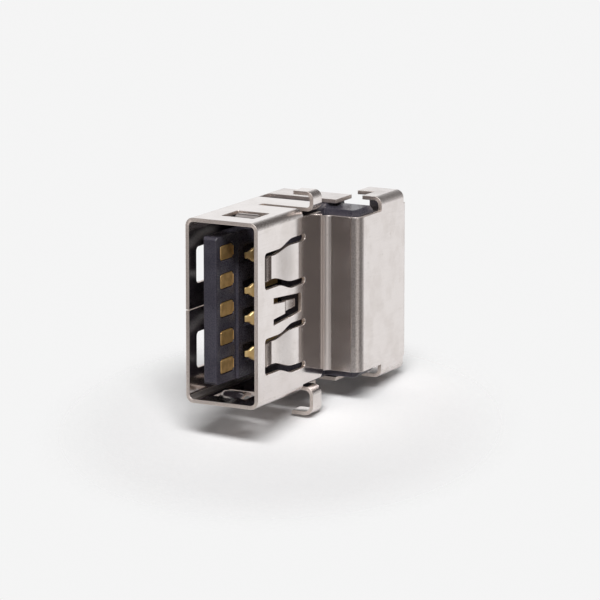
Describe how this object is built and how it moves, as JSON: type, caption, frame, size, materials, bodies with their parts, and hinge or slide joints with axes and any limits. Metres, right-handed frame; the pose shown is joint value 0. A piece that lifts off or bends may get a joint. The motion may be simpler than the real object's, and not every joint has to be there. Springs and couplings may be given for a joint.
{
  "type": "usb-a socket",
  "caption": "Board-sunk USB-A socket: folded metal shell with spring fingers, a stepped hood and folded legs, round a black contact tongue with flat pads and sprung blades",
  "frame": {"origin": "middle of the mouth, in the plane of its front edge", "axes": "+Y runs into the mouth, +Z is the long way of the mouth and points up as the socket stands on its lower leg, +X points away from the board, so the tongue and the board lie on the -X side"},
  "size_m": [0.0083, 0.0176, 0.016],
  "materials": {
    "shell_metal": "nickel plated, satin to bright",
    "black_plastic": "fine moulded texture",
    "contact_gold": "thin gold plating, satin"
  },
  "bodies": {
    "root": {"shell": "shell_metal", "housing": "black_plastic", "tail_spacer": "black_plastic", "flat_contact_1": "contact_gold", "flat_contact_2": "contact_gold", "flat_contact_3": "contact_gold", "flat_contact_4": "contact_gold", "flat_contact_5": "contact_gold", "spring_contact_1": "contact_gold", "spring_contact_2": "contact_gold", "spring_contact_3": "contact_gold", "spring_contact_4": "contact_gold"}
  },
  "joints": []
}
